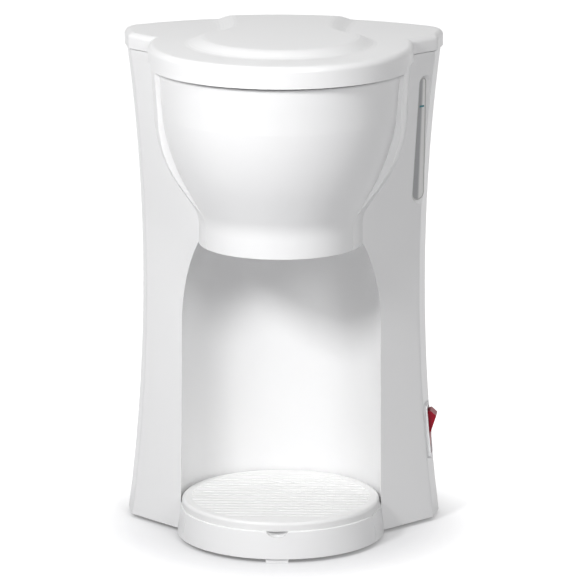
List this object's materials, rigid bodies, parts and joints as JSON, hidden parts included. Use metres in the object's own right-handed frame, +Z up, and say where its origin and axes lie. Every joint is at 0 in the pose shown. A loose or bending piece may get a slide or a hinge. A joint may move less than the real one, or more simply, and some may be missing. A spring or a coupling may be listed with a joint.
{
  "type": "drip coffee maker",
  "caption": "Upright one-cup drip coffee maker with a waisted column, round brew bowl, hinged lid, mug recess, drip tray, water window and rocker switch.",
  "frame": {"origin": "on the table, under the middle of the whole object", "axes": "+Z up, the front with the mug recess faces -Y, +X to the right of someone facing it"},
  "size_m": [0.15, 0.1314, 0.2393],
  "materials": {
    "white_shell": "satin gloss moulded",
    "white_switch": "satin moulded",
    "white_inner": "matt moulded",
    "tank_plastic": "milky, lets light through",
    "clear_window": "clear polished",
    "red_rocker": "glossy",
    "grey_rubber": "matt",
    "silicone": "matt, milky",
    "steel": "zinc plated",
    "mesh_steel": "woven",
    "boiler_aluminium": "drawn",
    "blade_brass": "plain",
    "dark_plastic": "matt",
    "fuse_white": "ceramic look"
  },
  "bodies": {
    "body": {"main_housing": "white_shell", "front_cover": "white_shell", "rear_cover": "white_shell", "base_platform": "white_shell", "front_foot": "white_shell", "switch_body": "white_switch", "top_deck": "white_inner", "base_plate": "white_inner", "riser_tube": "white_inner", "reservoir": "tank_plastic", "water_window": "clear_window", "window_gasket": "grey_rubber", "rear_feet": "grey_rubber", "riser_grommet": "grey_rubber", "cord_gland": "grey_rubber", "inlet_hose": "silicone", "riser_hose": "silicone", "wiring_leads": "silicone", "lid_hinge_pin": "steel", "base_screws": "steel", "heater_screws": "steel", "heater_bracket": "steel", "hose_clamps": "steel", "switch_pivot": "steel", "element_pins": "steel", "boiler_tube": "boiler_aluminium", "heating_element": "boiler_aluminium", "switch_terminals": "blade_brass", "thermostat": "dark_plastic", "terminal_block": "dark_plastic", "check_valve_body": "dark_plastic", "thermal_fuse": "fuse_white"},
    "lid": {"lid": "white_shell", "lid_spreader": "white_inner"},
    "rocker": {"switch_rocker": "red_rocker"},
    "tray": {"drip_tray": "white_shell"},
    "basket": {"brew_basket": "white_inner"},
    "filter": {"filter_frame": "white_inner", "filter_mesh": "mesh_steel"},
    "valve_ball": {"check_valve_ball": "fuse_white"}
  },
  "joints": [
    {"name": "lid_hinge", "type": "hinge", "parent": "body", "child": "lid", "pos_m": [0, 0.0601, 0.2296], "axis": [-1, 0, 0], "range_deg": [0, 100]},
    {"name": "rocker_tip", "type": "hinge", "parent": "body", "child": "rocker", "pos_m": [0.06714, 0.02973, 0.04283], "axis": [-0.0684, -0.9977, 0], "range_deg": [0, 30]},
    {"name": "tray_lift", "type": "slide", "parent": "body", "child": "tray", "axis": [0, 0, 1], "range_m": [0, 0.06]},
    {"name": "basket_lift", "type": "slide", "parent": "body", "child": "basket", "axis": [0, 0, 1], "range_m": [0, 0.0035]},
    {"name": "filter_lift", "type": "slide", "parent": "basket", "child": "filter", "axis": [0, 0, 1], "range_m": [0, 0.003]},
    {"name": "valve_float", "type": "slide", "parent": "body", "child": "valve_ball", "axis": [0, 0, 1], "range_m": [0, 0.0032]}
  ]
}
